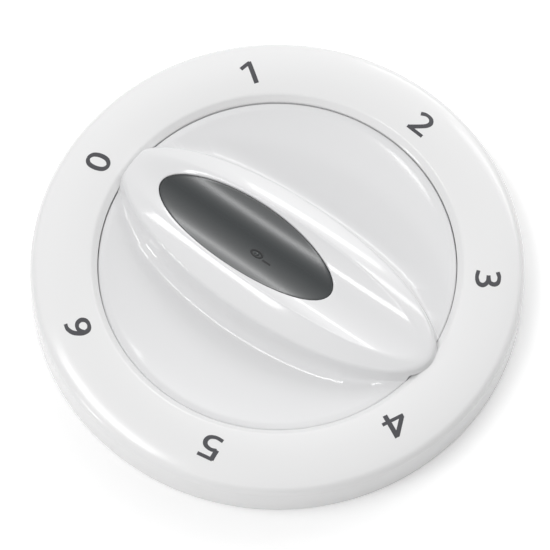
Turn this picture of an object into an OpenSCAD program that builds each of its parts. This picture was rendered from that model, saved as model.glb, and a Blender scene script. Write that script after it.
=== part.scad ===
// Control knob for a cooker: a numbered dial ring clipped round a dished disc with a scooped grip.
// The face looks up (+Z), the back rim stands on z = 0 and the grip's 0 end points along +Y.

/* [Dial ring] */
// Outer diameter of the dial ring
ring_d = 64; // [58:0.5:72]
// Height of the ring at the place where its crowned face meets the rounded outer edge
ring_edge_h = 6.1; // [5.8:0.1:6.6]
// Height of the ring at its inner bead
bead_h = 6.45; // [6.2:0.05:6.6]
// Rise of the ring's face above the straight line between its two edges
face_rise = 0.32; // [0.1:0.02:0.6]
// Radius of the rounded outer edge
edge_r = 1.25; // [0.6:0.05:1.8]
// Radius of the small bead at the ring's inner edge
bead_r = 0.35; // [0.2:0.05:0.6]
// Width of the bevel between the bead and the hole
bevel_w = 1.15; // [0.8:0.05:1.4]
// Height that the bevel falls over
bevel_drop = 0.95; // [0.6:0.05:1.1]
// Wall thickness of the ring
ring_t = 1.6; // [1.2:0.1:2.2]
// Stiffening ribs behind the ring
ring_ribs = 14; // [7:7:28]

/* [Disc] */
// Outer diameter of the disc inside the ring
disc_d = 46.1; // [44:0.1:48]
// Gap all round between the disc and the ring's hole
joint_gap = 0.25; // [0.15:0.05:0.5]
// Height of the disc's flat rim
rim_h = 5.5; // [5.3:0.1:5.8]
// Width of the disc's flat rim
rim_w = 0.9; // [0.5:0.05:1.4]
// Rounding of the rim's outer edge
rim_edge_r = 0.3; // [0.1:0.05:0.5]
// Height of the dished face at its middle
dish_floor_h = 2.6; // [2.3:0.1:3.2]
// Wall thickness of the dished disc
disc_t = 1.4; // [1:0.1:1.6]

/* [Grip] */
// Length of the grip's outline at its upper edge, as if the disc's edge didn't cut off its 0 end
grip_l = 48; // [47.4:0.1:48.4]
// Width of the grip's outline at its upper edge
grip_w = 17.8; // [15:0.1:20]
// Amount by which the grip's 0 end stands out over the disc's edge, inside the ring
end_reach = 0.12; // [0:0.02:0.14]
// Height of the grip's crown before the scoop is taken out of it
crown_h = 9.4; // [9:0.1:10.5]
// Radius of the crown across the grip
crown_r = 20; // [18:0.5:24]
// Height of the scoop's lowest line
scoop_floor_h = 7.05; // [6.9:0.05:7.6]
// Radius of the scoop across the grip
scoop_r = 9.9; // [9:0.1:12]
// Radius of the scoop's floor along the grip
scoop_along_r = 500; // [400:10:1200]
// Distance of the scoop's middle from the knob's centre, towards the pointed end
scoop_shift = 1; // [0.4:0.1:1.4]
// Amount by which the grip's side walls spread down to the start of the cove
wall_spread = 0.5; // [0.2:0.05:0.9]
// Radius of the cove where the grip's sides run into the dish
cove_r = 2; // [1:0.1:2.4]
// Height of the underside of the tip where it reaches over the ring
tip_under_h = 6.4; // [6.4:0.05:6.6]

/* [Grip insert] */
// Length of the insert
insert_l = 27; // [22:0.1:30]
// Width of the insert
insert_w = 9.6; // [7:0.1:9.8]
// Distance of the insert's middle from the knob's centre, towards the 0 end
insert_shift = 5.1; // [4.8:0.1:5.4]
// Thickness of the insert
insert_t = 0.9; // [0.6:0.05:1.1]
// Depth of the insert's face below the scoop around it
insert_sink = 0.15; // [0.05:0.05:0.3]
// Gap between the insert and its pocket
insert_gap = 0.06; // [0.03:0.01:0.15]
// Diameter of the insert's two pegs
peg_d = 1.7; // [1.2:0.1:2.2]
// Distance between the two pegs
peg_pitch = 23.8; // [23.6:0.1:24]

/* [Hub] */
// Diameter of the round shaft that the socket takes
shaft_d = 6; // [5.6:0.1:6.4]
// Radial clearance of the shaft in the D-shaped socket
shaft_gap = 0.05; // [0.03:0.01:0.1]
// Radial clearance of the shaft in the round mouth
mouth_gap = 0.3; // [0.26:0.02:0.5]
// Distance from the shaft's flat to its far side
shaft_flat = 4.6; // [4.3:0.1:4.9]
// Outer diameter of the hub
hub_d = 11; // [10:0.1:12]
// Height of the hub's mouth above the back rim
hub_mouth_h = 0.3; // [0.2:0.1:0.8]
// Length of the fully round mouth of the socket
guide_l = 2; // [1.6:0.1:2.2]
// Height of the socket's end above the back rim
socket_end_h = 5.2; // [4.8:0.05:5.3]
// Width of the lead-in chamfer at the socket's mouth
lead_in = 0.3; // [0.2:0.05:0.5]

/* [Shaft spring] */
// Width of the steel strip
spring_w = 3; // [2.4:0.1:3.2]
// Thickness of the steel strip
spring_t = 0.3; // [0.2:0.05:0.4]
// Depth of the slot behind the socket's flat
slot_depth = 0.9; // [0.85:0.05:0.9]
// Reach of the strip's bow past the socket's flat, into the shaft's place
spring_reach = 0.2; // [0.1:0.05:0.25]

/* [Back] */
// Wall thickness round the cored-out grip
grip_wall = 1.9; // [1.5:0.1:2.4]
// Height of the roof of the cored-out grip
core_roof_h = 5.2; // [4.9:0.05:5.3]
// Thickness of the ribs and webs
rib_t = 1; // [0.7:0.1:1.4]
// Height of the ribs' lower edge above the back rim
rib_low_h = 0.7; // [0.5:0.1:1]
// Ribs behind the disc on each side of the grip
disc_ribs = 3; // [1:1:5]
// Snap hooks that hold the ring
hooks = 6; // [4:2:8]
// Width of each snap hook along the circle, in degrees
hook_angle = 16; // [10:1:24]
// Thickness of a snap hook's arm
hook_t = 1.1; // [0.8:0.1:1.4]
// Reach of the hook under the ring's ledge
hook_reach = 0.7; // [0.4:0.05:0.9]
// Width of the ring's ledge under the disc's rim
ledge_w = 1.2; // [1:0.1:1.5]
// Thickness of the ring's ledge
ledge_t = 1.2; // [0.9:0.1:1.4]
// Keys that turn the ring with the disc
keys = 2; // [1:1:2]
// Width of each key
key_w = 2.4; // [1.6:0.2:3]
// Depth of the keyways in the ring's ledge
key_depth = 0.6; // [0.4:0.05:0.8]
// Free play between two faces that meet
play = 0.12; // [0.08:0.01:0.2]

/* [Hidden] */
$fn = 96;
white = [0.93, 0.93, 0.94];
dark_grey = [0.34, 0.36, 0.37];
steel = [0.72, 0.73, 0.75];
// One overrun serves all cuts
over = 1;

// Plan radii of the ring and the disc
ring_r = ring_d / 2;
disc_r = disc_d / 2;
hole_r = disc_r + joint_gap;
rim_in_r = disc_r - rim_w;
bead_x = hole_r + bevel_w;

// Crowned face: one arc through the outer edge and the bead
face_out = [ring_r - edge_r, ring_edge_h];
face_in = [bead_x, bead_h];
face_chord = norm(face_out - face_in);
face_r = (pow(face_chord / 2, 2) + pow(face_rise, 2)) / (2 * face_rise);
face_up = [face_in[1] - face_out[1], face_out[0] - face_in[0]] / face_chord;
face_c = (face_out + face_in) / 2 - face_up * (face_r - face_rise);
// Centre of the rounded outer edge, which touches the crown from inside and the outer wall
edge_x = ring_r - edge_r;
edge_z = face_c[1] + sqrt(pow(face_r - edge_r, 2) - pow(edge_x - face_c[0], 2));
edge_touch_x = face_c[0] + (edge_x - face_c[0]) * face_r / (face_r - edge_r);
// Centre of the bead, which touches the crown from inside
bead_cx = bead_x;
bead_cz = face_c[1] + sqrt(pow(face_r - bead_r, 2) - pow(bead_cx - face_c[0], 2));
bead_touch_x = face_c[0] + (bead_cx - face_c[0]) * face_r / (face_r - bead_r);
// The bevel leaves the bead where a line at its own slope touches the bead's circle
bevel_slope = atan2(bevel_drop, bevel_w);
bevel_top = [bead_cx - bead_r * sin(bevel_slope), bead_cz + bead_r * cos(bevel_slope)];
lip_h = bevel_top[1] - (bevel_top[0] - hole_r) * tan(bevel_slope);

// Heights of the ledge under the disc's rim
seat_h = rim_h - disc_t;
ledge_top_h = seat_h - play;
ledge_low_h = ledge_top_h - ledge_t;
ledge_in_r = hole_r - ledge_w;
collar_out_r = hole_r + ring_t;
ring_roof_h = ring_edge_h - ring_t;

// Dish: a sphere that meets the inner edge of the rim
dish_fall = rim_h - dish_floor_h;
dish_r = (pow(rim_in_r, 2) + pow(dish_fall, 2)) / (2 * dish_fall);
dish_c = dish_floor_h + dish_r;

// The grip is turned, crowned and scooped as a round body as wide as itself, then stretched lengthwise.
// Its crown thereby gets a longer radius along the grip than across it.
grip_a = grip_l / 2;
grip_b = grip_w / 2;
stretch_share = grip_l / grip_w;
grip_top_h = crown_h + over;
crown_mid_h = crown_h - crown_r;
grip_edge_h = crown_mid_h + sqrt(pow(crown_r, 2) - pow(grip_b, 2));
cove_top_h = dish_floor_h + cove_r;
foot_b = grip_b + wall_spread;
// How far the cove's foot would run out along the grip if nothing trimmed it
grip_reach = (foot_b + cove_r) * stretch_share + over;
// Half width that the slanted wall would have above the crown
wall_top_b = grip_b - wall_spread * (grip_top_h - grip_edge_h) / (grip_edge_h - cove_top_h);
// Scoop: a ring of circular section, standing upright, whose lowest line is the scoop's floor
scoop_ring_r = scoop_along_r / pow(stretch_share, 2);
scoop_y = -scoop_shift / stretch_share;
insert_y = insert_shift / stretch_share;
// Hollow behind the grip
core_a = disc_r - grip_wall;
core_b = grip_b - grip_wall + wall_spread;

// Socket: a round mouth, then a D with its flat towards the strip
socket_r = shaft_d / 2 + shaft_gap;
mouth_r = shaft_d / 2 + mouth_gap;
flat_y = shaft_flat - shaft_d / 2 + shaft_gap;
guide_h = hub_mouth_h + guide_l;
slot_w = spring_w + 2 * play;
slot_y = flat_y + slot_depth;

// Strip: its arcs bulge towards the shaft and its ends reach the slot's back
spring_mid_h = (guide_h + socket_end_h) / 2;
spring_half = (socket_end_h - guide_h) / 2 - play;
spring_bow = slot_y - play / 2 - (flat_y - spring_reach);
spring_r = (pow(spring_half, 2) + pow(spring_bow, 2)) / (2 * spring_bow);
spring_c = flat_y - spring_reach + spring_r;

// Snap hooks under the ledge
arm_out_r = ledge_in_r - play;
arm_in_r = arm_out_r - hook_t;
catch_h = ledge_low_h - play;
hook_low_h = rib_low_h;

// The crowned, hollow section of the dial ring
module ring_section() {
    difference() {
        union() {
            // Under the crown, up to the place where the rounded edge takes over
            intersection() {
                translate(face_c) circle(r = face_r);
                translate([bead_touch_x, 0]) square([edge_touch_x - bead_touch_x, bead_h + edge_r]);
            }
            translate([edge_x, edge_z]) circle(r = edge_r);
            translate([bead_touch_x, 0]) square([ring_r - bead_touch_x, edge_z]);
            translate([bead_cx, bead_cz]) circle(r = bead_r);
            // From the bead down the bevel to the lip of the hole
            polygon([[hole_r, 0], [hole_r, lip_h], bevel_top, [bead_cx, bead_cz], [bead_touch_x, bead_cz],
                [bead_touch_x, 0]]);
        }
        // Hollow between the collar and the outer wall
        translate([collar_out_r, -over]) square([ring_r - ring_t - collar_out_r, ring_roof_h + over]);
        // Below the collar
        translate([hole_r - over, -over]) square([collar_out_r - hole_r + 2 * over, rib_low_h + over]);
    }
    // Ledge that carries the disc's rim
    translate([ledge_in_r, ledge_low_h]) square([ledge_w + ring_t / 2, ledge_t]);
}

// Keys, or with play round them their keyways, at the disc's back rim
module key_blocks(extra) {
    for (i = [0 : keys - 1])
        rotate([0, 0, 180 / hooks + i * 360 / keys])
            translate([arm_in_r, -key_w / 2 - extra, ledge_low_h - extra])
                cube([ledge_in_r + key_depth - play + extra - arm_in_r, key_w + 2 * extra,
                    seat_h - ledge_low_h + 2 * extra]);
}

module dial_ring() {
    color(white) {
        difference() {
            rotate_extrude() ring_section();
            key_blocks(play);
        }
        for (i = [0 : ring_ribs - 1])
            rotate([0, 0, (i + 0.5) * 360 / ring_ribs])
                translate([collar_out_r - ring_t / 2, -rib_t / 2, rib_low_h])
                    cube([ring_r - collar_out_r, rib_t, ring_roof_h - rib_low_h + ring_t / 2]);
    }
}

// The dished disc, its flat rim and its rounded edge
module disc_section() {
    difference() {
        union() {
            square([disc_r - rim_edge_r, rim_h]);
            square([disc_r, rim_h - rim_edge_r]);
            translate([disc_r - rim_edge_r, rim_h - rim_edge_r]) circle(r = rim_edge_r);
        }
        // The face
        intersection() {
            translate([0, dish_c]) circle(r = dish_r);
            square([dish_r, dish_c]);
        }
    }
}

// Everything behind the disc, at one wall's thickness under its face
module back_space() {
    rotate_extrude() intersection() {
        translate([0, -over]) square([ring_r, seat_h + over]);
        difference() {
            translate([0, -over]) square([ring_r, dish_c]);
            translate([0, dish_c]) circle(r = dish_r + disc_t);
            translate([rim_in_r, seat_h]) square([ring_r, dish_c]);
        }
    }
}

// Half section of the grip before it is stretched: crown, slanted wall and the cove at its foot
module grip_section() {
    difference() {
        intersection() {
            polygon([[0, 0], [foot_b + cove_r, 0], [foot_b + cove_r, dish_floor_h], [foot_b, cove_top_h],
                [wall_top_b, grip_top_h], [0, grip_top_h]]);
            translate([0, crown_mid_h]) circle(r = crown_r);
        }
        translate([foot_b + cove_r, cove_top_h]) circle(r = cove_r);
    }
}

module stretched() {
    scale([1, stretch_share, 1]) children();
}

// The scoop, or with extra depth the pocket under it
module scoop(extra) {
    translate([0, scoop_y, scoop_floor_h + scoop_ring_r]) rotate([0, 90, 0])
        rotate_extrude() translate([scoop_ring_r - scoop_r, 0]) circle(r = scoop_r + extra);
}

// Outline of the insert or its pocket as an upright column
module insert_column(gap) {
    translate([0, insert_y, 0])
        scale([insert_w / 2 + gap, (insert_l / 2 + gap) / stretch_share, 1]) cylinder(r = 1, h = grip_top_h);
}

module pegs(d, low, high) {
    for (s = [-1, 1])
        translate([0, insert_shift + s * peg_pitch / 2, low]) cylinder(d = d, h = high - low);
}

module grip_form() {
    difference() {
        stretched() difference() {
            rotate_extrude() grip_section();
            scoop(0);
            // Pocket for the insert, parallel to the scoop
            intersection() {
                scoop(insert_sink + insert_t);
                insert_column(insert_gap);
            }
        }
        // Only the pointed tip reaches past the disc, above the ring
        outside(disc_r, tip_under_h);
        intersection() {
            outside(disc_r + end_reach, grip_top_h);
            translate([-grip_reach, 0, 0]) cube([2 * grip_reach, grip_reach, grip_top_h]);
        }
    }
}

// All that lies outside a radius, up to a height
module outside(r, high) {
    translate([0, 0, -over]) difference() {
        cylinder(r = grip_reach, h = high + over);
        translate([0, 0, -over]) cylinder(r = r, h = high + 3 * over);
    }
}

module webs() {
    // Long and cross webs between the hub and the wall of the grip
    for (w = [[2 * core_b + rib_t, rib_t], [rib_t, 2 * core_a + rib_t]])
        translate([-w[0] / 2, -w[1] / 2, rib_low_h]) cube([w[0], w[1], core_roof_h - rib_low_h + play]);
}

module snap_hook() {
    rotate([0, 0, -hook_angle / 2]) rotate_extrude(angle = hook_angle)
        polygon([[arm_in_r, hook_low_h], [arm_out_r, hook_low_h], [arm_out_r + hook_reach, catch_h - hook_reach],
            [arm_out_r + hook_reach, catch_h], [arm_out_r, catch_h], [arm_out_r, seat_h], [arm_in_r, seat_h]]);
}

module back_ribs() {
    // Ribs behind the dish on both sides of the grip, which end half way into its wall
    difference() {
        for (side = [0, 180], i = [0 : disc_ribs - 1])
            rotate([0, 0, side + (i - (disc_ribs - 1) / 2) * 180 / (disc_ribs + 1)])
                translate([core_b + rib_t, -rib_t / 2, rib_low_h])
                    cube([arm_in_r + hook_t / 2 - core_b - rib_t, rib_t, seat_h - rib_low_h]);
        translate([0, 0, dish_c]) sphere(r = dish_r + disc_t / 2);
        translate([0, 0, -over]) scale([core_b + rib_t / 2, core_a, 1]) cylinder(r = 1, h = dish_c);
    }
}

module knob_body() {
    color(white) difference() {
        union() {
            difference() {
                union() {
                    rotate_extrude() disc_section();
                    grip_form();
                }
                back_space();
                // Cored-out back of the grip
                translate([0, 0, -over]) scale([core_b, core_a, 1]) cylinder(r = 1, h = core_roof_h + over);
            }
            translate([0, 0, hub_mouth_h]) cylinder(d = hub_d, h = core_roof_h - hub_mouth_h + play);
            webs();
            back_ribs();
            key_blocks(0);
            for (i = [0 : hooks - 1]) rotate([0, 0, i * 360 / hooks]) snap_hook();
        }
        // Round mouth with its lead-in
        translate([0, 0, hub_mouth_h - over]) cylinder(r = mouth_r, h = guide_l + over);
        translate([0, 0, hub_mouth_h - over])
            cylinder(r1 = mouth_r + lead_in + over, r2 = mouth_r, h = lead_in + over);
        // D-shaped socket with the strip's slot behind its flat
        translate([0, 0, guide_h]) intersection() {
            cylinder(r = socket_r, h = socket_end_h - guide_h);
            translate([-socket_r, -socket_r, 0]) cube([2 * socket_r, socket_r + flat_y, socket_end_h]);
        }
        translate([-slot_w / 2, 0, guide_h]) cube([slot_w, slot_y, socket_end_h - guide_h]);
        pegs(peg_d + insert_gap, core_roof_h - insert_t - over, crown_h);
    }
}

module grip_insert() {
    color(dark_grey) {
        stretched() difference() {
            intersection() {
                scoop(insert_sink + insert_t - insert_gap);
                insert_column(0);
            }
            scoop(insert_sink);
        }
        pegs(peg_d, core_roof_h - insert_t, scoop_floor_h - insert_sink - insert_t / 2);
    }
}

// A leaf bowed towards the shaft: part of a ring between two arcs, its ends on the slot's back
module shaft_spring() {
    color(steel) translate([-spring_w / 2, 0, 0]) rotate([90, 0, 90]) linear_extrude(spring_w)
        intersection() {
            translate([spring_c, spring_mid_h]) difference() {
                circle(r = spring_r);
                circle(r = spring_r - spring_t);
            }
            translate([0, spring_mid_h - spring_half]) square([slot_y - play / 2, 2 * spring_half]);
        }
}

dial_ring();
knob_body();
grip_insert();
shaft_spring();
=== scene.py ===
import math
import bpy
import numpy as np
from mathutils import Matrix, Vector


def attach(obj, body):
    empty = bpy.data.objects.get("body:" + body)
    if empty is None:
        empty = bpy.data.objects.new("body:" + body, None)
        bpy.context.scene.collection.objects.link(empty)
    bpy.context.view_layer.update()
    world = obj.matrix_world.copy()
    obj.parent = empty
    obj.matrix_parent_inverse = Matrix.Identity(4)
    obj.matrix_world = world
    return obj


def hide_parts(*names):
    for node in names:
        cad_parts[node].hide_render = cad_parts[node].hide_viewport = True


# All shapes below are worked out in millimetres, with z = 0 at the back rim and +Y towards the number 0
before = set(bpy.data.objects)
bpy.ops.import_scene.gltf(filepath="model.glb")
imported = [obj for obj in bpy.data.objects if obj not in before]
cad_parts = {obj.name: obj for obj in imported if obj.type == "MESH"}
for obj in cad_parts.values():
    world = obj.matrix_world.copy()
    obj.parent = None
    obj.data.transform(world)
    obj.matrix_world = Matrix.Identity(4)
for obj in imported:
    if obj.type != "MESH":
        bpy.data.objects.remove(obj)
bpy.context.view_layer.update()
scene = bpy.context.scene
mm = 0.001
hair = 1e-6  # keeps a point that lies on a limit inside it
tiny = 1e-9  # keeps a division from meeting zero
outside = 99.0  # a radius past everything on the knob


# Shared helpers

def onceRound(count):
    # Even angles once round a circle, in radians
    return np.linspace(0, 2 * np.pi, count, endpoint=False)


def arc(cx, cz, radius, start, end, count):
    # Points of a circle's arc in the section plane, angles in degrees from +X
    a = np.radians(np.linspace(start, end, count))
    return np.stack([cx + radius * np.cos(a), cz + radius * np.sin(a)], 1)


def makeMesh(name, points, faces, material, sharp=32):
    # A mesh from points in millimetres and faces, with edges sharper than an angle kept crisp
    mesh = bpy.data.meshes.new(name)
    mesh.from_pydata((np.asarray(points) * mm).tolist(), [], faces)
    mesh.validate()
    mesh.polygons.foreach_set("use_smooth", np.ones(len(mesh.polygons), bool))
    mesh.set_sharp_from_angle(angle=math.radians(sharp))
    mesh.materials.append(material)
    piece = bpy.data.objects.new(name, mesh)
    scene.collection.objects.link(piece)
    return piece


def wrapQuads(loops, cols, closeLoops=False):
    # Faces of a grid whose columns run round in a circle; the last loop may be joined to the first
    a, b = np.meshgrid(np.arange(loops if closeLoops else loops - 1), np.arange(cols), indexing="ij")
    a2, b2 = (a + 1) % loops, (b + 1) % cols
    return np.stack([a * cols + b, a * cols + b2, a2 * cols + b2, a2 * cols + b], -1).reshape(-1, 4)


def fan(tip, loop):
    # Triangles from one point to each edge of a closed loop of point numbers
    return np.stack([np.full(len(loop), tip), loop, np.roll(loop, -1)], 1).tolist()


def shifted(faces, start):
    # The same faces on points that come later in the list
    return [[v + start for v in face] for face in faces]


def join(parts):
    # Several point and face lists as one
    points, faces, start = [], [], 0
    for p, f in parts:
        points.append(p)
        faces += (np.asarray(f) + start).tolist()
        start += len(p)
    return np.concatenate(points), faces


def block(x0, x1, y0, y1, z0, z1, degrees=0.0, rise=0.0):
    # Eight corners of an upright block, turned about the axis; its top may be higher by rise at the x1 end
    x, y = np.array([x0, x1, x1, x0] * 2, float), np.array([y0, y0, y1, y1] * 2, float)
    z = np.array([z0] * 4 + [z1, z1 + rise, z1 + rise, z1], float)
    a = math.radians(degrees)
    return np.stack([x * math.cos(a) - y * math.sin(a), x * math.sin(a) + y * math.cos(a), z], -1)


def blockFaces(blocks):
    # Points of several blocks, and six outward faces for each
    sides = np.array([[3, 2, 1, 0], [4, 5, 6, 7], [0, 1, 5, 4], [1, 2, 6, 5], [2, 3, 7, 6], [3, 0, 4, 7]])
    return np.concatenate(blocks), (sides + 8 * np.arange(len(blocks))[:, None, None]).reshape(-1, 4)


# Materials

def plainMaterial(name, colour, roughness, **extra):
    # A plain plastic or metal; an extra socket is named with its spaces as underscores
    material = bpy.data.materials.new(name)
    material.use_nodes = True
    shader = material.node_tree.nodes["Principled BSDF"]
    shader.inputs["Base Color"].default_value = (*colour, 1)
    shader.inputs["Roughness"].default_value = roughness
    for key, value in extra.items():
        shader.inputs[key.replace("_", " ")].default_value = value
    return material


looks = {
    "ringColour": (0.83, 0.83, 0.832), "ringRough": 0.15,
    "bodyColour": (0.775, 0.776, 0.783), "bodyRough": 0.08,
    "greyColour": (0.022, 0.027, 0.029), "greyRough": 0.22, "greySpecular": 0.9,
    "grooveShadeColour": (0.012, 0.013, 0.014), "markRough": 0.4,
    "steelColour": (0.58, 0.58, 0.6), "steelRough": 0.3,
    "inkColour": (0.062, 0.062, 0.070), "inkRough": 0.45,
}
ringWhite = plainMaterial("whitePlastic", looks["ringColour"], looks["ringRough"])
bodyWhite = plainMaterial("bodyWhite", looks["bodyColour"], looks["bodyRough"])
grey = plainMaterial("greyPlastic", looks["greyColour"], looks["greyRough"],
                     Specular_IOR_Level=looks["greySpecular"])
# The mark's near-black colour is painted shade: it stands in for the shade inside the moulded grooves of the
# insert's mark
grooveShadeGrey = plainMaterial("paintedGrooveShade", looks["grooveShadeColour"], looks["markRough"])
steel = plainMaterial("springSteel", looks["steelColour"], looks["steelRough"], Metallic=1.0)
ink = plainMaterial("dialInk", looks["inkColour"], looks["inkRough"])
print("materials made")


# The dial ring: one turned section with a hollow back, then its ribs

ring = {
    "outerR": 32.0, "edgeH": 6.1, "edgeR": 1.25, "footBevel": 0.12,  # outer wall and its rounded upper edge
    "beadH": 6.45, "beadR": 0.8, "rise": 0.32,  # inner bead, and the crown of the face between the two
    "holeR": 23.3, "bevelW": 1.15, "bevelDrop": 0.95, "lipW": 0.1, "lipDrop": 0.04,  # bevel down to the hole
    "ledgeR": 22.1, "ledgeTop": 3.98, "ledgeLow": 2.78,  # ledge for the snap hooks
    "wall": 1.6, "lowH": 0.7,  # wall thickness, and the low end of the collar round the hole
    "keyAngle": 30.0, "keyHalf": 3.4, "keyDepth": 0.6,  # two keyways in the ledge, facing each other
    "ribs": 14, "ribT": 1.0, "ribInto": 0.8, "ribClear": 0.02,  # stiffening ribs in the hollow back
    "edgeSteps": 14, "faceSteps": 40, "beadSteps": 8, "bevelSteps": 6, "cols": 512,
}
faceOut = np.array([ring["outerR"] - ring["edgeR"], ring["edgeH"]])
faceIn = np.array([ring["holeR"] + ring["bevelW"], ring["beadH"]])
chord = np.linalg.norm(faceOut - faceIn)
faceR = (chord ** 2 / 4 + ring["rise"] ** 2) / (2 * ring["rise"])
faceUp = np.array([faceIn[1] - faceOut[1], faceOut[0] - faceIn[0]]) / chord
faceC = (faceOut + faceIn) / 2 - faceUp * (faceR - ring["rise"])


def faceHeight(r):
    # Height of the ring's crowned face at a radius: one arc about the centre faceC
    return faceC[1] + np.sqrt(faceR ** 2 - (r - faceC[0]) ** 2)


def innerCentre(x, radius):
    # Height of a small circle's centre at x that touches the crown from inside
    return faceC[1] + math.sqrt((faceR - radius) ** 2 - (x - faceC[0]) ** 2)


edgeX, edgeZ = faceOut[0], innerCentre(faceOut[0], ring["edgeR"])
beadX, beadZ = faceIn[0], innerCentre(faceIn[0], ring["beadR"])
edgeTop = math.degrees(math.atan2(edgeZ - faceC[1], edgeX - faceC[0]))
beadTop = math.degrees(math.atan2(beadZ - faceC[1], beadX - faceC[0]))
bevelSlope = ring["bevelDrop"] / ring["bevelW"]
bevelTilt = math.atan(bevelSlope)
bevelTop = np.array([beadX - ring["beadR"] * math.sin(bevelTilt),
                     beadZ + ring["beadR"] * math.cos(bevelTilt)])
lipH = bevelTop[1] - (bevelTop[0] - ring["holeR"]) * bevelSlope
bevelLow = np.array([ring["holeR"] + ring["lipW"], lipH + ring["lipW"] * bevelSlope])
roofH = ring["edgeH"] - ring["wall"]
collarR = ring["holeR"] + ring["wall"]
wallIn = ring["outerR"] - ring["wall"]
section = np.concatenate([
    [[ring["outerR"] - ring["footBevel"], 0.0], [ring["outerR"], ring["footBevel"]]],
    arc(edgeX, edgeZ, ring["edgeR"], 0, edgeTop, ring["edgeSteps"]),
    arc(faceC[0], faceC[1], faceR, edgeTop, beadTop, ring["faceSteps"])[1:],
    arc(beadX, beadZ, ring["beadR"], beadTop, 90 + math.degrees(bevelTilt), ring["beadSteps"])[1:],
    np.linspace(bevelTop, bevelLow, ring["bevelSteps"])[1:],
    [[ring["holeR"], lipH - ring["lipDrop"]], [ring["holeR"], ring["ledgeTop"]],
     [ring["ledgeR"], ring["ledgeTop"]], [ring["ledgeR"], ring["ledgeLow"]],
     [ring["holeR"], ring["ledgeLow"]], [ring["holeR"], ring["lowH"]], [collarR, ring["lowH"]],
     [collarR, roofH], [wallIn, roofH], [wallIn, 0.0]],
])
around = onceRound(ring["cols"])
radii = np.repeat(section[:, :1], ring["cols"], 1)
# The keyways cut the ledge back over a few degrees at two places half a turn apart
fromKey = (np.degrees(around) - ring["keyAngle"] + 90) % 180 - 90
ledgeRows = np.isclose(section[:, 0], ring["ledgeR"])
radii[np.ix_(ledgeRows, np.abs(fromKey) < ring["keyHalf"])] = ring["ledgeR"] + ring["keyDepth"]
ringGrid = np.stack([radii * np.cos(around), radii * np.sin(around),
                     np.repeat(section[:, 1:], ring["cols"], 1)], -1)
# The ribs end a hair above the walls that they run into, so that no two faces lie in one plane
ribLow = ring["lowH"] + ring["ribClear"]
ringRibs = [block(collarR - ring["ribInto"], ring["outerR"] - ring["ribInto"],
                  -ring["ribT"] / 2, ring["ribT"] / 2, ribLow, roofH + ring["ribInto"],
                  (i + 0.5) * 360 / ring["ribs"]) for i in range(ring["ribs"])]
ringPoints, ringFaces = join([
    (ringGrid.reshape(-1, 3), wrapQuads(len(section), ring["cols"], closeLoops=True)),
    blockFaces(ringRibs),
])
dialRing = makeMesh("dialRing", ringPoints, ringFaces, ringWhite)
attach(dialRing, "root")
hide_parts("dial_ring")
print("dial ring made", len(dialRing.data.polygons))


# The knob body: one skin of rays from the middle

# The rays run over scoop, crest, side wall, foot, dish and rim, then back inward underneath. Along a ray the
# plan point is x = w sin t, y = stretch w cos t, with w the width share.
body = {
    "discR": 23.23, "rimW": 0.9, "rimH": 5.5, "rimEdge": 0.3, "rimSoft": 0.08,  # disc with a flat rim
    "floorH": 2.6, "steepFrom": 19.4, "steepBy": 0.08, "thick": 1.4,  # dished face
    "gripL": 48.0, "gripW": 17.8, "crownH": 9.4, "crownR": 20.0, "edgeR": 0.6,  # grip with a crowned top
    "endReach": 0.12, "tipUnder": 6.4,  # how far the 0 end passes the disc, and the tip's underside
    "scoopH": 7.05, "scoopR": 9.9, "scoopAlong": 500.0, "scoopShift": 1.0,  # scoop across and along
    "crestSoft": 0.16, "crestEnd": 0.4, "landLeast": 0.06,  # soft corner between scoop and crown
    "spread": 0.5, "coveH": 4.6, "coveOut": 2.4, "coveUp": 1.9,  # side wall, and the foot's reach
    "roomPast": 0.1, "footLeast": 0.12, "footOutShare": 0.75, "footUpShare": 0.6,  # the foot near the rim
    "insertL": 27.0, "insertW": 9.6, "insertShift": 5.1, "insertT": 0.9,  # plate let into the scoop
    "sink": 0.15, "gap": 0.06, "lipDrop": 0.07, "lipW": 0.05,  # its depth and clearance, the pocket's lip
    "coreB": 7.5, "coreA": 21.15, "coreH": 5.2, "seatH": 4.1,  # hollow under the grip, seat on the ledge
    "cornerHalf": 0.25, "rowGap": 0.05,  # band of close rows at the rim's inner corner
    "halvings": 40, "rounds": 12,  # steps of the searches for the crest and for the foot
    "edgeSteps": 18, "bendSteps": 15, "cornerSteps": 9, "bandSteps": 4, "rimSteps": 8, "cols": 1200,
}
stretch = body["gripL"] / body["gripW"]
halfW = body["gripW"] / 2
crownMid = body["crownH"] - body["crownR"]
gripEdgeH = crownMid + math.sqrt(body["crownR"] ** 2 - halfW ** 2)
rimIn = body["discR"] - body["rimW"]
dishFall = body["rimH"] - body["floorH"]
dishR = (rimIn ** 2 + dishFall ** 2) / (2 * dishFall)
dishC = body["floorH"] + dishR
dishLimit = 0.9 * dishR
scoopRing = body["scoopAlong"] / stretch ** 2
scoopY = -body["scoopShift"] / stretch


def softMin(a, b, k):
    # The lower of two heights, with the corner between them rounded over a band k
    h = np.clip(0.5 + 0.5 * (b - a) / k, 0, 1)
    return b * (1 - h) + a * h - k * h * (1 - h)


def scoopHeight(x, y, extra=0.0):
    # Lower half of an upright ring of circular section; y is taken before the stretch
    reach = scoopRing - body["scoopR"] + np.sqrt((body["scoopR"] + extra) ** 2 - x ** 2)
    return body["scoopH"] + scoopRing - np.sqrt(reach ** 2 - (y - scoopY) ** 2)


def crownHeight(w):
    # Arc across the grip, highest over its middle line
    return crownMid + np.sqrt(body["crownR"] ** 2 - w ** 2)


def dishHeight(r):
    # The dished sphere, a little deeper and with a steeper last part, below the flat rim with a soft corner
    steep = np.clip((r - body["steepFrom"]) / (rimIn - body["steepFrom"]), 0, 1) ** 2
    sphere = dishC - np.sqrt(dishR ** 2 - r ** 2) - body["steepBy"] * (1 - steep)
    return softMin(sphere, np.full_like(r, body["rimH"]), body["rimSoft"])


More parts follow.
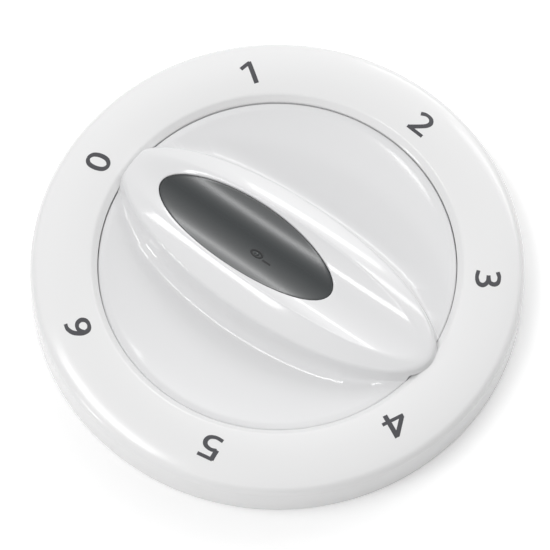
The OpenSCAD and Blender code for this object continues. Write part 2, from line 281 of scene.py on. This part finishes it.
t = onceRound(body["cols"])
sinT, cosT = np.sin(t), np.cos(t)
growth = np.sqrt(sinT ** 2 + (stretch * cosT) ** 2)


def atRadius(r):
    # Width share at which each ray reaches a radius from the axis
    return r / growth


def dishAt(w):
    # Dish height at a width share of each ray, with the radius held where the sphere would turn upright
    return dishHeight(np.minimum(w * growth, dishLimit))


def scoopAt(w, extra=0.0):
    # Scoop height at a width share of each ray
    return scoopHeight(w * sinT, w * cosT, extra)


def rows(start, end, shares):
    # One row of width shares for each share of the way between two limits
    s = np.asarray(shares, float)[:, None]
    return start[None] * (1 - s) + end[None] * s


# Pocket outline along each ray: where the ray leaves an ellipse whose middle lies off the axis
pocketA, pocketB = body["insertW"] / 2 + body["gap"], (body["insertL"] / 2 + body["gap"]) / stretch
insertY = body["insertShift"] / stretch
qa = (sinT / pocketA) ** 2 + (cosT / pocketB) ** 2
qb = -2 * cosT * insertY / pocketB ** 2
qc = (insertY / pocketB) ** 2 - 1
pocketEdge = (-qb + np.sqrt(qb ** 2 - 4 * qa * qc)) / (2 * qa)

# Crest: where scoop and crown have the same height, found by halving
low, high = pocketEdge.copy(), np.full_like(t, halfW)
for step in range(body["halvings"]):
    mid = (low + high) / 2
    under = scoopAt(mid) < crownHeight(mid)
    low, high = np.where(under, mid, low), np.where(under, high, mid)

# Rounded upper edge: a small circle inside the crown's circle and the slanted wall
wallDir = np.array([body["spread"], body["coveH"] - gripEdgeH])
wallDir /= np.linalg.norm(wallDir)
inward = np.array([wallDir[1], -wallDir[0]])
start = np.array([halfW, gripEdgeH]) + inward * body["edgeR"] - np.array([0, crownMid])
slide = start @ wallDir
slide = -slide - math.sqrt(slide ** 2 - start @ start + (body["crownR"] - body["edgeR"]) ** 2)
roundC = start + wallDir * slide + np.array([0, crownMid])
roundStart = math.degrees(math.atan2(roundC[1] - crownMid, roundC[0]))
roundEnd = math.degrees(math.atan2(-inward[1], -inward[0]))
roundArc = arc(roundC[0], roundC[1], body["edgeR"], roundStart, roundEnd, body["edgeSteps"])
landEnd = np.full_like(t, roundArc[0, 0])
crest = np.minimum(low, landEnd - body["landLeast"])


def wallWidth(z):
    # Width share of the slanted side wall at a height
    return halfW + (gripEdgeH - z) * body["spread"] / (gripEdgeH - body["coveH"])


# Where the wall would meet the dish, found by going back and forth between the two
meet = np.full_like(t, halfW + body["spread"])
for step in range(body["rounds"]):
    meet = wallWidth(dishAt(meet))
# The foot is a smooth curve from a point up the wall to one out on the dish. Its corner lies where the line
# along the dish at the outer point meets the line of the wall.
probe = 0.01  # step over which the dish's slope is taken
room = np.clip(atRadius(rimIn + body["roomPast"]) - meet, 0, None)
footOut = meet + np.minimum(body["coveOut"], body["footLeast"] + body["footOutShare"] * room)
footUp = np.minimum(body["coveUp"], body["footLeast"] + body["footUpShare"] * room)
footOutZ = dishAt(footOut)
slopeOut = (dishAt(footOut + probe) - footOutZ) / probe
wallLow = dishAt(meet) + footUp
wallSlope = (body["coveH"] - gripEdgeH) / body["spread"]
cornerW = (gripEdgeH - wallSlope * halfW - footOutZ + slopeOut * footOut) / (slopeOut - wallSlope)
cornerZ = footOutZ + slopeOut * (cornerW - footOut)
bend = np.linspace(0, 1, body["bendSteps"])[:, None]
footW = (1 - bend) ** 2 * wallWidth(wallLow) + 2 * bend * (1 - bend) * cornerW + bend ** 2 * footOut
footZ = (1 - bend) ** 2 * wallLow + 2 * bend * (1 - bend) * cornerZ + bend ** 2 * footOutZ

# Shares of the way for the rows of each stretch, closer together where the form bends more
pocketShares = np.linspace(0, 1, 9)[1:]
scoopShares = np.concatenate([[0, 0.02], np.linspace(0.05, 0.86, 22), np.linspace(0.89, 1, 12)])
landShares = np.concatenate([np.linspace(0.02, 0.16, 8), np.linspace(0.2, 1, 18)])
wallShares = np.linspace(0, 1, 10)[1:-1, None]
dishShares = np.linspace(0, 1, 40)[1:]
backShares = np.linspace(0, 1, 14)
roofShares = [0, 0.3, 0.7]

# Rows of the upper skin, middle to rim
pocketRows = rows(np.zeros_like(t), pocketEdge, pocketShares)
pocketZ = scoopAt(pocketRows, body["sink"] + body["insertT"])
lipZ = scoopAt(pocketEdge) - body["lipDrop"]
topRows = np.concatenate([rows(pocketEdge + body["lipW"], crest, scoopShares),
                          rows(crest, landEnd, landShares)])
# The corner between crown and scoop is softer towards the 0 end
crestK = body["crestSoft"] + body["crestEnd"] * np.clip(cosT, 0, 1) ** 4
topZ = softMin(crownHeight(topRows), scoopAt(topRows), crestK)
edgeRows = np.repeat(roundArc[1:, :1], body["cols"], 1)
edgeDrop = np.repeat(roundArc[1:, 1:], body["cols"], 1)
edgeZs = softMin(edgeDrop, scoopAt(edgeRows), crestK)
wallZ = edgeDrop[-1] * (1 - wallShares) + wallLow * wallShares
wallRows = wallWidth(wallZ)
# Past the foot: the dish, close rows round the rim's inner corner, the flat rim, and its rounded outer edge
cornerStart, cornerEnd = rimIn - body["cornerHalf"], rimIn + body["cornerHalf"]
rimFlat = body["discR"] - body["rimEdge"]
dishRows = rows(footOut, np.maximum(atRadius(cornerStart), footOut), dishShares)
cornerRadii = np.linspace(cornerStart + body["rowGap"], cornerEnd, body["cornerSteps"])
bandRadii = np.linspace(cornerEnd + body["rowGap"], rimFlat, body["bandSteps"])
rimArc = arc(rimFlat, body["rimH"] - body["rimEdge"], body["rimEdge"], 90, 0, body["rimSteps"])[1:]
bandRows = np.maximum(atRadius(np.concatenate([cornerRadii, bandRadii])[:, None]), footOut)
flatRows = np.concatenate([dishRows, bandRows])
flatZ = dishAt(flatRows)
outRows = np.maximum(atRadius(rimArc[:, :1]), footOut)
outZ = np.repeat(rimArc[:, 1:], body["cols"], 1)
upperW = np.concatenate([pocketRows, pocketEdge[None], topRows, edgeRows, wallRows, footW, flatRows, outRows])
upperZ = np.concatenate([pocketZ, lipZ[None], topZ, edgeZs, wallZ, footZ, flatZ, outZ])


def trimmed(w, z, allowed, crossing):
    # Past the first row that isn't allowed, every row of a ray takes the point where the ray's line leaves
    bad = ~allowed(w, z)
    first = np.where(bad.any(0), bad.argmax(0), len(w))
    col = np.arange(w.shape[1])
    j = np.clip(first, 1, len(w) - 1)
    w0, z0, w1, z1 = w[j - 1, col], z[j - 1, col], w[j, col], z[j, col]
    f = np.clip(crossing(w0, z0, w1, z1), 0, 1)
    stopW, stopZ = w0 + f * (w1 - w0), z0 + f * (z1 - z0)
    past = np.arange(len(w))[:, None] >= first[None]
    return np.where(past, stopW, w), np.where(past, stopZ, z)


# The 0 end is cut off a little outside the disc's edge, and below the tip everything ends at the disc's edge
endR = np.where(cosT > 0, body["discR"] + body["endReach"], outside)


def insideEnd(w, z):
    # Everything up to the radius where each ray is cut off
    return w * growth <= endR + hair


def overEnd(w0, z0, w1, z1):
    # Share of the way at which a ray passes that radius
    return (endR - w0 * growth) / np.maximum((w1 - w0) * growth, tiny)


def insideDisc(w, z):
    # Everything over the disc, and past it what is higher than the tip's underside
    return (w * growth <= body["discR"] + hair) | (z >= body["tipUnder"] - hair)


def overDisc(w0, z0, w1, z1):
    # Share of the way at which a ray drops below the tip's underside or, lower down, leaves the disc
    byHeight = np.where(z0 > body["tipUnder"], (z0 - body["tipUnder"]) / np.maximum(z0 - z1, tiny), 0)
    spare = body["discR"] - w0 * growth
    byRadius = np.where(spare > 0, spare / np.maximum((w1 - w0) * growth, tiny), 0)
    return np.maximum(byHeight, byRadius)


upperW, upperZ = trimmed(upperW, upperZ, insideEnd, overEnd)
upperW, upperZ = trimmed(upperW, upperZ, insideDisc, overDisc)

# Side of the disc, then the back: flat seat, back of the dish, wall and roof of the hollow under the grip
lastW, lastZ = upperW[-1], upperZ[-1]
sideR = atRadius(body["discR"])
underZ = np.minimum(lastZ, body["tipUnder"])
coreEdge = 1 / np.sqrt((sinT / body["coreB"]) ** 2 + (stretch * cosT / body["coreA"]) ** 2)
backRows = rows(atRadius(rimIn), coreEdge, backShares)
backZ = np.minimum(dishC - np.sqrt((dishR + body["thick"]) ** 2 - (backRows * growth) ** 2), body["seatH"])
roofRows = rows(coreEdge, np.zeros_like(t), roofShares)
lowerW = np.concatenate([lastW[None], np.minimum(lastW, sideR)[None], sideR[None], backRows, roofRows])
lowerZ = np.concatenate([underZ[None], underZ[None], np.full_like(t, body["seatH"])[None], backZ,
                         np.full_like(roofRows, body["coreH"])])
allW, allZ = np.concatenate([upperW, lowerW]), np.concatenate([upperZ, lowerZ])
skin = np.stack([allW * sinT, stretch * allW * cosT, allZ], -1)
pocketFloor = scoopHeight(0, 0, body["sink"] + body["insertT"])
skinPoints = np.concatenate([skin.reshape(-1, 3), [[0, 0, pocketFloor], [0, 0, body["coreH"]]]])
firstLoop = np.arange(body["cols"])
lastLoop = firstLoop + (len(allW) - 1) * body["cols"]
skinFaces = (wrapQuads(len(allW), body["cols"]).tolist() + fan(allW.size, firstLoop[::-1])
             + fan(allW.size + 1, lastLoop))
knobBody = makeMesh("knobBody", skinPoints, skinFaces, bodyWhite, sharp=40)
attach(knobBody, "root")
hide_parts("knob_body")
print("knob body made", len(knobBody.data.polygons))


# Behind the disc: hub with its D-shaped socket, webs, ribs, snap hooks and keys

back = {
    "hubR": 5.5, "mouthH": 0.3, "mouthR": 3.3, "leadIn": 0.3, "guideH": 2.3,  # hub and its round mouth
    "socketR": 3.05, "flatY": 1.65, "slotX": 1.62, "slotY": 2.55,  # D-shaped socket with the strip's slot
    "levelSine": 0.05,  # directions nearer to level than this don't meet the flat
    "ribT": 1.0, "webFrom": 4.0, "wallInto": 0.5, "roofInto": 0.1,  # webs and ribs run a little into walls
    "hooks": 6, "hookAngle": 16.0, "armIn": 20.88, "armOut": 21.98, "reach": 0.7, "catchH": 2.66,
    "keyW": 2.4, "keyOut": 22.58,  # the two keys stand in the ring's keyways
    "hookSteps": 9, "cols": 144,
}
turn = onceRound(back["cols"])
cosA, sinA = np.cos(turn), np.sin(turn)
# Socket outline by direction: a circle cut by the flat, with the strip's slot behind the flat
facingFlat = sinA > back["levelSine"]
upright = np.where(facingFlat, sinA, 1)
toFlat = np.where(facingFlat, back["flatY"] / upright, outside)
toSlot = np.minimum(np.where(facingFlat, back["slotY"] / upright, outside),
                    back["slotX"] / np.maximum(np.abs(cosA), tiny))
inSlot = toSlot * (toSlot * sinA > back["flatY"])
dShape = np.where(sinA > 0, np.maximum(np.minimum(back["socketR"], toFlat), inSlot), back["socketR"])
roofZ = body["coreH"] + back["roofInto"]
seatZ = body["seatH"] + back["roofInto"]
levels = [(back["hubR"], roofZ), (back["hubR"], back["mouthH"]),
          (back["mouthR"] + back["leadIn"], back["mouthH"]),
          (back["mouthR"], back["mouthH"] + back["leadIn"]),
          (back["mouthR"], back["guideH"]), (dShape, back["guideH"]), (dShape, roofZ)]
hub = np.stack([np.stack([r * cosA, r * sinA, np.full(back["cols"], z)], -1) for r, z in levels])
hubFaces = wrapQuads(len(levels), back["cols"], closeLoops=True)[:, ::-1]
halfRib = back["ribT"] / 2
# Four webs from the hub to the wall of the hollow, two along each axis
webWalls = {0: body["coreB"], 90: body["coreA"], 180: body["coreB"], 270: body["coreA"]}
webs = [block(back["webFrom"], wall + back["wallInto"], -halfRib, halfRib, ring["lowH"], roofZ, degrees)
        for degrees, wall in webWalls.items()]
ribStart, ribEnd = body["coreB"] + back["ribT"], back["armIn"] + back["wallInto"]


def halfWall(r):
    # Height of the middle of the dish's wall at a radius
    return dishC - math.sqrt((dishR + body["thick"] / 2) ** 2 - r ** 2)


# Three ribs on each side of the grip, their tops rising with the dish's wall
ribs = [block(ribStart, ribEnd, -halfRib, halfRib, ribLow, halfWall(ribStart), degrees,
              halfWall(ribEnd) - halfWall(ribStart)) for degrees in (-45, 0, 45, 135, 180, 225)]
keys = [block(back["armIn"], back["keyOut"], -back["keyW"] / 2, back["keyW"] / 2, ring["ledgeLow"], seatZ,
              ring["keyAngle"] + half) for half in (0, 180)]
catchR = back["armOut"] + back["reach"]
hookSection = np.array([[back["armIn"], ring["lowH"]], [back["armOut"], ring["lowH"]],
                        [catchR, back["catchH"] - back["reach"]], [catchR, back["catchH"]],
                        [back["armOut"], back["catchH"]], [back["armOut"], seatZ], [back["armIn"], seatZ]])
hookFan = np.linspace(-back["hookAngle"] / 2, back["hookAngle"] / 2, back["hookSteps"])
corners = len(hookSection)
hookQuads = wrapQuads(back["hookSteps"], corners)[:, ::-1]
hookEnd = list(range(corners))
lastEnd = (back["hookSteps"] - 1) * corners
hookParts, hookCaps = [], []
for i in range(back["hooks"]):
    a = np.radians(i * 360 / back["hooks"] + hookFan)[:, None]
    hookGrid = np.stack([hookSection[:, 0] * np.cos(a), hookSection[:, 0] * np.sin(a),
                         np.tile(hookSection[:, 1], (back["hookSteps"], 1))], -1)
    hookParts.append((hookGrid.reshape(-1, 3), hookQuads))
    firstEnd = i * back["hookSteps"] * corners
    hookCaps += shifted([hookEnd], firstEnd) + shifted([hookEnd[::-1]], firstEnd + lastEnd)
hookPoints, hookFaces = join(hookParts)
backPoints, backFaces = join([(hub.reshape(-1, 3), hubFaces), blockFaces(webs + ribs + keys)])
backFaces += shifted(hookFaces + hookCaps, len(backPoints))
knobBack = makeMesh("knobBack", np.concatenate([backPoints, hookPoints]), backFaces, bodyWhite, sharp=30)
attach(knobBack, "root")
print("back made", len(knobBack.data.polygons))


# The grey insert: an oval plate that follows the scoop, with a softly rounded rim and two pegs

insert = {
    "roundR": 0.14, "faceSteps": 34, "rimSteps": 7, "lowStep": 1.5, "lowSteps": 4, "cols": 360,  # plate
    "pegR": 0.85, "pegPitch": 23.8, "pegLow": 4.3, "pegTop": 6.5, "pegCols": 40,  # pegs
}
turn = onceRound(insert["cols"])
insertA, insertB = body["insertW"] / 2, body["insertL"] / 2
plateLow = body["sink"] + body["insertT"] - body["gap"]


def plateLoop(halfX, halfY, extra, drop=0.0):
    # An oval about the insert's middle, at the height of a parallel of the scoop less a drop
    x, y = halfX * np.cos(turn), body["insertShift"] + halfY * np.sin(turn)
    return np.stack([x, y, scoopHeight(x, y / stretch, extra) - drop], -1)


faceLoops = [plateLoop(s * (insertA - insert["roundR"]), s * (insertB - insert["roundR"]), body["sink"])
             for s in np.linspace(0, 1, insert["faceSteps"])[1:-1]]
rimLoops = []
for a in np.radians(np.linspace(0, 90, insert["rimSteps"])):
    pull, drop = insert["roundR"] * (1 - math.sin(a)), insert["roundR"] * (1 - math.cos(a))
    rimLoops.append(plateLoop(insertA - pull, insertB - pull, body["sink"], drop))
lowLoops = [plateLoop(insertA - i * insert["lowStep"], insertB - i * insert["lowStep"], plateLow)
            for i in range(insert["lowSteps"])]
loops = np.stack(faceLoops + rimLoops + lowLoops)
mids = [[0, body["insertShift"], scoopHeight(0, insertY, extra)] for extra in (body["sink"], plateLow)]
platePoints = np.concatenate([loops.reshape(-1, 3), mids])
firstLoop = np.arange(insert["cols"])
lastLoop = firstLoop + (len(loops) - 1) * insert["cols"]
plateFaces = (wrapQuads(len(loops), insert["cols"])[:, ::-1].tolist()
              + fan(len(platePoints) - 2, firstLoop) + fan(len(platePoints) - 1, lastLoop[::-1]))
pegTurn = onceRound(insert["pegCols"])
pegCircle = np.stack([np.cos(pegTurn), np.sin(pegTurn)], -1) * insert["pegR"]
pegLoops = [np.column_stack([pegCircle + [0, body["insertShift"] + side * insert["pegPitch"] / 2],
                             np.full(insert["pegCols"], z)])
            for side in (-1, 1) for z in (insert["pegLow"], insert["pegTop"])]
pegEnd = list(range(insert["pegCols"]))
pegFaces = wrapQuads(2, insert["pegCols"]).tolist() + [pegEnd[::-1]] + shifted([pegEnd], insert["pegCols"])
plateFaces += shifted(pegFaces, len(platePoints))
plateFaces += shifted(pegFaces, len(platePoints) + 2 * insert["pegCols"])
gripInsert = makeMesh("gripInsert", np.concatenate([platePoints] + pegLoops), plateFaces, grey, sharp=45)
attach(gripInsert, "root")
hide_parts("grip_insert")
print("insert made", len(gripInsert.data.polygons))


# The moulding mark on the insert: a fine oval ring round a nub, and a short dash towards the tip. The ring
# and the dash are thin raised bands in near-black grey, painted shade that stands in for the shade inside the
# mark's moulded grooves; the nub keeps the insert's own grey.

mark = {
    "x": -0.95, "y": 2.6, "ringX": 0.42, "ringY": 0.80, "wire": 0.14, "wireFlat": 0.5,  # oval ring
    "nub": 0.24, "nubLong": 1.4, "nubH": 0.16, "nubTop": 0.1,  # low dome in its middle
    "dashX": -1.25, "dashTop": 1.5, "dashLow": 0.25, "dashHalf": 0.12, "dashH": 0.02,  # dash
    "cols": 48, "wireCols": 8, "nubSteps": 7, "dashSteps": 12,
}


def onPlate(x, y, up):
    # Points laid on the insert's face, lifted by a distance
    return np.stack([x, y, scoopHeight(x, y / stretch, body["sink"]) + up], -1)


turn = onceRound(mark["cols"])
oval = np.stack([onPlate(mark["x"] + (mark["ringX"] + mark["wire"] * math.cos(a)) * np.cos(turn),
                         mark["y"] + (mark["ringY"] + mark["wire"] * math.cos(a)) * np.sin(turn),
                         mark["wire"] * mark["wireFlat"] * math.sin(a)) for a in onceRound(mark["wireCols"])])
dashY = np.linspace(mark["dashLow"], mark["dashTop"], mark["dashSteps"])
dashCorners = [(-1, -1), (1, -1), (1, 1), (-1, 1)]
dashGrid = np.stack([onPlate(np.full_like(dashY, mark["dashX"] + side * mark["dashHalf"]), dashY,
                             up * mark["dashH"]) for side, up in dashCorners], 1)
dashEnd = [0, 1, 2, 3]
dashFaces = (wrapQuads(mark["dashSteps"], 4)[:, ::-1].tolist() + [dashEnd]
             + shifted([dashEnd[::-1]], 4 * (mark["dashSteps"] - 1)))
markPoints, markFaces = join([
    (oval.reshape(-1, 3), wrapQuads(mark["wireCols"], mark["cols"], closeLoops=True)),
    (dashGrid.reshape(-1, 3), dashFaces),
])
# Painted shade: these raised near-black bands take the place of the shaded grooves of the mark
grooveShadeBands = makeMesh("grooveShadeBands", markPoints, markFaces, grooveShadeGrey)
dome = np.stack([onPlate(mark["x"] + mark["nub"] * s * np.cos(turn),
                         mark["y"] + mark["nubLong"] * mark["nub"] * s * np.sin(turn),
                         mark["nubH"] * math.sqrt(1 - s * s))
                 for s in np.linspace(1, mark["nubTop"], mark["nubSteps"])])
domeTip = onPlate(np.array([mark["x"]]), np.array([mark["y"]]), mark["nubH"])
domeLoop = np.arange(mark["cols"])
domeFaces = (wrapQuads(mark["nubSteps"], mark["cols"]).tolist() + [domeLoop[::-1].tolist()]
             + fan(mark["nubSteps"] * mark["cols"], domeLoop + (mark["nubSteps"] - 1) * mark["cols"]))
plateNub = makeMesh("plateNub", np.concatenate([dome.reshape(-1, 3), domeTip]), domeFaces, grey)
for piece in (grooveShadeBands, plateNub):
    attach(piece, "root")
print("mark made")


# The steel strip in the hub keeps its CAD shape and gets its finish here

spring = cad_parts["shaft_spring"]
spring.data.materials.clear()
spring.data.materials.append(steel)


# Numbers 0 to 6, printed on the ring's face, clockwise, with their feet towards the middle

# Each stroke is a smooth line through a few points of a box one high, drawn as a thin closed band that
# follows the face. The lean of each number is in degrees.
digits = {
    "radius": 27.3, "height": 3.35, "turn": 5.2, "lean": [8, 11, 3, 2, -5, -8, -3],
    "lift": 0.012, "liftStep": 0.002, "deep": 0.03, "thin": 0.070, "thick": 0.094, "steps": 9,
}
strokes = [
    [[(0, 0.42), (-0.21, 0.3), (-0.28, 0), (-0.21, -0.3), (0, -0.42), (0.21, -0.3), (0.28, 0), (0.21, 0.3),
      (0, 0.42)]],
    [[(0.1, -0.5), (0.1, 0), (0.1, 0.5)], [(0.13, 0.46), (-0.08, 0.37), (-0.3, 0.27)]],
    [[(-0.32, 0.32), (-0.12, 0.42), (0.12, 0.4), (0.25, 0.24), (0.2, 0.05), (0, -0.16), (-0.3, -0.42)],
     [(-0.38, -0.42), (0, -0.42), (0.36, -0.42)]],
    [[(-0.31, 0.36), (-0.1, 0.43), (0.13, 0.39), (0.22, 0.24), (0.14, 0.07), (-0.14, 0.015)],
     [(-0.14, 0.01), (0.14, -0.02), (0.28, -0.18), (0.2, -0.36), (-0.05, -0.43), (-0.33, -0.38)]],
    [[(0.17, -0.5), (0.17, 0), (0.17, 0.5)], [(0.14, 0.44), (-0.14, 0.12), (-0.4, -0.18)],
     [(-0.46, -0.2), (0, -0.2), (0.44, -0.2)]],
    [[(-0.3, 0.43), (0, 0.43), (0.34, 0.43)], [(-0.26, 0.46), (-0.27, 0.25), (-0.29, 0.02)],
     [(-0.28, 0.05), (-0.05, 0.09), (0.18, 0.02), (0.27, -0.15), (0.19, -0.34), (-0.05, -0.43),
      (-0.34, -0.4)]],
    [[(0.3, 0.42), (0.08, 0.4), (-0.14, 0.24), (-0.26, -0.02), (-0.27, -0.2), (-0.19, -0.37), (0, -0.43),
      (0.19, -0.37), (0.27, -0.2), (0.19, -0.03), (0.02, 0.03), (-0.14, -0.03), (-0.25, -0.16)]],
]


def smoothLine(points):
    # Cubic through the points, each tangent half the way between its neighbours
    p = np.array(points, float)
    p = np.concatenate([[2 * p[0] - p[1]], p, [2 * p[-1] - p[-2]]])
    if np.allclose(points[0], points[-1]):
        p[0], p[-1] = p[-3], p[2]
    s = np.linspace(0, 1, digits["steps"], endpoint=False)[None, :, None]
    p0, p1, p2, p3 = p[:-3, None], p[1:-2, None], p[2:-1, None], p[3:, None]
    line = 0.5 * (2 * p1 + (p2 - p0) * s + (2 * p0 - 5 * p1 + 4 * p2 - p3) * s ** 2
                  + (3 * p1 - p0 - 3 * p2 + p3) * s ** 3)
    return np.concatenate([line.reshape(-1, 2), p[-2:-1]])


def onFace(flat, number, lift):
    # From the number's own plane to the ring: turned by its lean, moved out to its place, laid on the crown
    tilt = math.radians(digits["lean"][number])
    across = (flat[:, 0] * math.cos(tilt) - flat[:, 1] * math.sin(tilt)) * digits["height"]
    out = (flat[:, 0] * math.sin(tilt) + flat[:, 1] * math.cos(tilt)) * digits["height"] + digits["radius"]
    a = math.radians(90 + digits["turn"] - number * 360 / len(strokes))
    x, y = out * math.cos(a) + across * math.sin(a), out * math.sin(a) - across * math.cos(a)
    return np.stack([x, y, faceHeight(np.hypot(x, y)) + lift], -1)


for number, lines in enumerate(strokes):
    bands = []
    for index, points in enumerate(lines):
        line = smoothLine(points)
        way = np.gradient(line, axis=0)
        way /= np.linalg.norm(way, axis=1)[:, None]
        side = np.stack([-way[:, 1], way[:, 0]], -1)
        half = digits["thin"] + (digits["thick"] - digits["thin"]) * np.abs(way[:, 1:])
        left, right = line + side * half, line - side * half
        up = digits["lift"] + digits["liftStep"] * index
        grid = np.stack([onFace(left, number, -digits["deep"]), onFace(right, number, -digits["deep"]),
                         onFace(right, number, up), onFace(left, number, up)], 1)
        last = 4 * (len(line) - 1)
        faces = (wrapQuads(len(line), 4)[:, ::-1].tolist()
                 + [[0, 1, 2, 3], [last + 3, last + 2, last + 1, last]])
        bands.append((grid.reshape(-1, 3), faces))
    digitPoints, digitFaces = join(bands)
    digit = makeMesh(f"digit{number}", digitPoints, digitFaces, ink)
    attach(digit, "root")
print("numbers made")


# Floor, a hair below the back rim: white to the camera and in reflections, darker where it throws light back

ground = {"seen": (1.13, 1.13, 1.13), "bounce": (0.88, 0.88, 0.88), "half": 3.0, "z": -0.00005}  # metres
floorMesh = bpy.data.meshes.new("floor")
floorCorners = [(x * ground["half"], y * ground["half"], ground["z"])
                for x, y in ((-1, -1), (1, -1), (1, 1), (-1, 1))]
floorMesh.from_pydata(floorCorners, [], [(0, 1, 2, 3)])
floor = bpy.data.objects.new("floor", floorMesh)
scene.collection.objects.link(floor)
floorWhite = bpy.data.materials.new("floorWhite")
floorWhite.use_nodes = True
nodes, links = floorWhite.node_tree.nodes, floorWhite.node_tree.links
nodes.clear()
surface = nodes.new("ShaderNodeOutputMaterial")
matt = nodes.new("ShaderNodeBsdfDiffuse")
path = nodes.new("ShaderNodeLightPath")


def mathNode(operation, first, second):
    # One sum in the present node tree; each input is a number or another node's output
    node = nodes.new("ShaderNodeMath")
    node.operation = operation
    for socket, value in zip(node.inputs, (first, second)):
        if isinstance(value, (int, float)):
            socket.default_value = value
        else:
            links.new(value, socket)
    return node.outputs[0]


seen = mathNode("MAXIMUM", path.outputs["Is Camera Ray"], path.outputs["Is Glossy Ray"])
tone = nodes.new("ShaderNodeMix")
tone.data_type = "RGBA"
tone.inputs["A"].default_value = (*ground["bounce"], 1)
tone.inputs["B"].default_value = (*ground["seen"], 1)
links.new(mathNode("MAXIMUM", seen, path.outputs["Is Transmission Ray"]), tone.inputs["Factor"])
links.new(tone.outputs["Result"], matt.inputs["Color"])
links.new(matt.outputs["BSDF"], surface.inputs["Surface"])
floorMesh.materials.append(floorWhite)


# Camera: the lens and direction measured from the photo, turned a little to match the picture

view = {
    "from": -144.3, "elevation": 66.0, "roll": 0.6,  # degrees
    "distance": 600.0, "aim": (0.54, 0.75, 0.0), "lens": 300.6, "sensor": 36.0,  # millimetres
    "near": 0.01, "far": 20.0,  # metres
}
e, a = math.radians(view["elevation"]), math.radians(view["from"])
offset = Vector((math.cos(e) * math.cos(a), math.cos(e) * math.sin(a), math.sin(e)))
cameraData = bpy.data.cameras.new("camera")
camera = bpy.data.objects.new("camera", cameraData)
scene.collection.objects.link(camera)
cameraData.lens, cameraData.sensor_width = view["lens"], view["sensor"]
cameraData.clip_start, cameraData.clip_end = view["near"], view["far"]
camera.location = (Vector(view["aim"]) + offset * view["distance"]) * mm
look = (-offset).to_track_quat("-Z", "Y").to_matrix()
camera.rotation_euler = (look @ Matrix.Rotation(math.radians(view["roll"]), 3, "Z")).to_euler()
scene.camera = camera


# Light: a sky of wide soft glows, with one dim patch high at the back, and small lamps for sharp highlights

# Directions are given as seen from the camera: azimuth 0 is its right, 90 straight away from it
def skyward(azimuth, elevation):
    # Direction from the knob to a place in the sky
    az, el = math.radians(azimuth + view["from"] + 90), math.radians(elevation)
    return Vector((math.cos(el) * math.cos(az), math.cos(el) * math.sin(az), math.sin(el)))


skyEven = 0.02
glows = {
    "right": {"azimuth": 45, "elevation": 38, "gain": 0.90, "power": 2},
    "farLow": {"azimuth": 68, "elevation": 27, "gain": 2.1, "power": 40},
    "leftHigh": {"azimuth": 198, "elevation": 65, "gain": 1.2, "power": 15},
    "dimPatch": {"azimuth": 98, "elevation": 69, "gain": -0.28, "power": 24},
    "far": {"azimuth": 100, "elevation": 30, "gain": 0.72, "power": 4},
    "near": {"azimuth": 285, "elevation": 45, "gain": 0.25, "power": 4},
    "nearLeft": {"azimuth": 225, "elevation": 27, "gain": 1.35, "power": 6},
}
lampDistance = 0.9
lamps = {
    "edgeStrip": {"azimuth": 203, "elevation": 20, "size": (0.14, 0.1), "watts": 0.8, "twist": 0},
    "dishStrip": {"azimuth": 175, "elevation": 67, "size": (0.34, 0.09), "watts": 0.75, "twist": 42},
    "overCamera": {"azimuth": 262, "elevation": 62, "size": (0.5, 0.04), "watts": 0.3, "twist": 0},
    "glint": {"azimuth": 69, "elevation": 31, "size": (0.25, 0.06), "watts": 0.25, "twist": 0},
    "backEdge": {"azimuth": 51, "elevation": 41, "size": (0.3, 0.06), "watts": 0.3, "twist": 0},
}
world = bpy.data.worlds.new("studio")
scene.world = world
world.use_nodes = True
nodes, links = world.node_tree.nodes, world.node_tree.links
direction = nodes.new("ShaderNodeTexCoord")
# Brightness is an even part plus, for each glow, its gain times the cosine from its middle to a power
brightness = skyEven
for glow in glows.values():
    cosine = nodes.new("ShaderNodeVectorMath")
    cosine.operation = "DOT_PRODUCT"
    cosine.inputs[1].default_value = skyward(glow["azimuth"], glow["elevation"])
    links.new(direction.outputs["Generated"], cosine.inputs[0])
    lobe = mathNode("POWER", mathNode("MAXIMUM", cosine.outputs["Value"], 0.0), glow["power"])
    brightness = mathNode("ADD", mathNode("MULTIPLY", lobe, glow["gain"]), brightness)
links.new(mathNode("MAXIMUM", brightness, 0.0), nodes["Background"].inputs["Strength"])
nodes["Background"].inputs["Color"].default_value = (1, 1, 1, 1)
for name, lamp in lamps.items():
    light = bpy.data.lights.new(name, "AREA")
    light.shape, light.energy = "RECTANGLE", lamp["watts"]
    light.size, light.size_y = lamp["size"]
    holder = bpy.data.objects.new(name, light)
    scene.collection.objects.link(holder)
    towards = skyward(lamp["azimuth"], lamp["elevation"])
    holder.location = towards * lampDistance
    facing = (-towards).to_track_quat("-Z", "Y").to_matrix()
    holder.rotation_euler = (facing @ Matrix.Rotation(math.radians(lamp["twist"]), 3, "Z")).to_euler()
scene.view_settings.view_transform = "Standard"
print("stage made")
